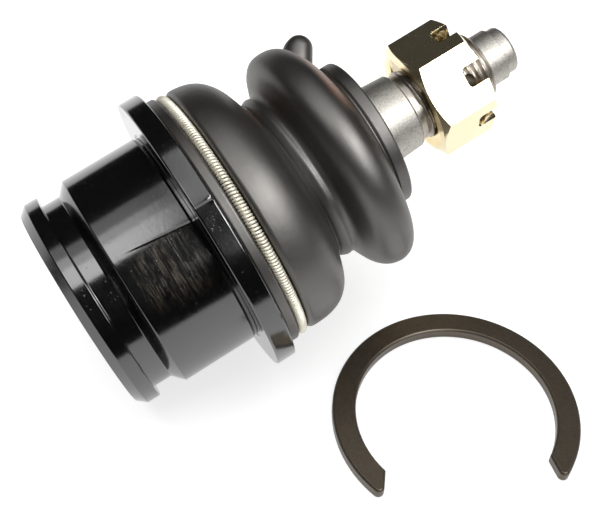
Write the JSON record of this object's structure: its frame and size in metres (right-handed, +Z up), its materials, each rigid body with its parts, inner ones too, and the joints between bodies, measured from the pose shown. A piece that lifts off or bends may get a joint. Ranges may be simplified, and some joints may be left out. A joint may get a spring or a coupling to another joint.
{
  "type": "suspension ball joint",
  "caption": "Press-in suspension ball joint with a flanged housing, double-bulge rubber boot, tapered stud with castle nut, and a loose open snap ring beside it.",
  "frame": {"origin": "centre of the ball, which is the middle of the press-in barrel, on the stud axis", "axes": "the joint lies as in the picture, on the edge of its flange and the edge of its bottom disc. +Z is up, +X is the level direction of the stud axis towards the nut, and the loose snap ring lies on the -Y side. The stud axis rises 15.71 degrees above +X."},
  "size_m": [0.1083, 0.1025, 0.063],
  "materials": {
    "black_paint": "gloss black paint",
    "stud_steel": "satin blasted steel",
    "yellow_zinc": "bright yellow zinc plating",
    "boot_rubber": "satin black moulded rubber",
    "garter_wire": "pale gold plated wire",
    "dark_phosphate": "dark oiled phosphate",
    "spring_steel": "oiled spring steel",
    "seat_polymer": "natural white bearing polymer"
  },
  "bodies": {
    "housing": {"housing": "black_paint", "closing_plate": "black_paint", "preload_spring": "spring_steel", "pressure_plate": "spring_steel", "lower_bearing_seat": "seat_polymer", "upper_bearing_seat": "seat_polymer", "boot_base": "boot_rubber", "boot_garter_ring": "garter_wire"},
    "boot_swing": {"boot_waist": "boot_rubber"},
    "boot_collar": {"boot_fold": "boot_rubber", "boot_collar_ring": "spring_steel"},
    "stud": {"ball_stud": "stud_steel", "castle_nut": "yellow_zinc"},
    "snap_ring": {"snap_ring": "dark_phosphate"}
  },
  "joints": [
    {"name": "stud_swing", "type": "hinge", "parent": "housing", "child": "boot_swing", "pos_m": [0, 0, 0], "axis": [0, 1, 0], "range_deg": [-16, 16], "deforming": ["boot_base", "boot_waist", "boot_fold"]},
    {"name": "stud_swing_side", "type": "hinge", "parent": "boot_swing", "child": "boot_collar", "pos_m": [0, 0, 0], "axis": [-0.2708, 0, 0.9626], "range_deg": [-16, 16], "deforming": ["boot_base", "boot_waist", "boot_fold"]},
    {"name": "stud_spin", "type": "hinge", "parent": "boot_collar", "child": "stud", "pos_m": [0, 0, 0], "axis": [0.9626, 0, 0.2708], "continuous": true},
    {"name": "snap_ring_slide", "type": "slide", "parent": "housing", "child": "snap_ring", "axis": [0, -1, 0], "range_m": [0, 0.04]}
  ]
}
